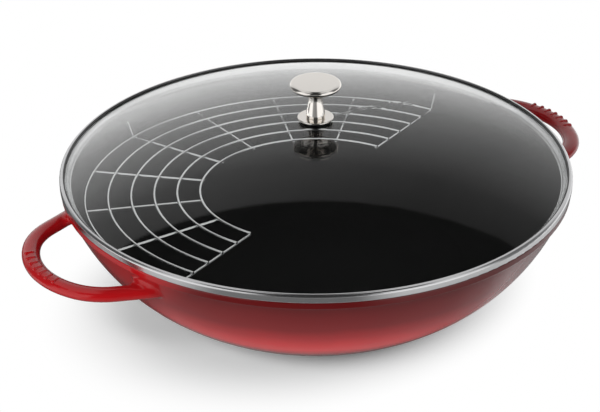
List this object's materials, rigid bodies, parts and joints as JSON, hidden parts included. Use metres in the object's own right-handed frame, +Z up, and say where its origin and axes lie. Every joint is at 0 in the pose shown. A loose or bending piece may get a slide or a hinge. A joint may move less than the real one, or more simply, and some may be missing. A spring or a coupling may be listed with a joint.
{
  "type": "wok",
  "caption": "Round-bottomed enamelled iron wok with loop handles, a domed glass lid with a knob, and a half-ring wire rack inside the rim.",
  "frame": {"origin": "middle of the bowl, on the surface that the foot stands on", "axes": "+X through the two handles, +Z up through the knob"},
  "size_m": [0.4568, 0.3732, 0.1663],
  "materials": {
    "enamel": "glossy red enamel outside, black enamel inside",
    "glass": "clear tempered",
    "band_steel": "polished",
    "knob_metal": "satin nickel",
    "rack_chrome": "bright plated wire",
    "black_rubber": "matt"
  },
  "bodies": {
    "wok": {"wok_body": "enamel"},
    "lid": {"lid_glass": "glass", "lid_rim_band": "band_steel", "rim_gasket": "black_rubber", "lid_knob": "knob_metal", "knob_flange": "knob_metal", "knob_seal_top": "black_rubber", "knob_seal_bottom": "black_rubber", "knob_washer": "band_steel", "knob_screw": "band_steel"},
    "rack": {"rack_arc_1": "rack_chrome", "rack_arc_2": "rack_chrome", "rack_arc_3": "rack_chrome", "rack_arc_4": "rack_chrome", "rack_arc_5": "rack_chrome", "rack_arc_6": "rack_chrome", "rack_cross_1": "rack_chrome", "rack_cross_2": "rack_chrome", "rack_cross_3": "rack_chrome", "rack_cross_4": "rack_chrome", "rack_cross_5": "rack_chrome", "rack_cross_6": "rack_chrome", "rack_cross_7": "rack_chrome", "rack_cross_8": "rack_chrome", "rack_cross_9": "rack_chrome"}
  },
  "joints": [
    {"name": "lid_lift", "type": "slide", "parent": "wok", "child": "lid", "axis": [0, 0, 1], "range_m": [0, 0.3]},
    {"name": "rack_lift", "type": "slide", "parent": "wok", "child": "rack", "axis": [0, 0, 1], "range_m": [0, 0.15]}
  ],
  "couplings": [
    {"joint": "rack_lift", "follows": "lid_lift", "ratio": 0.5}
  ]
}
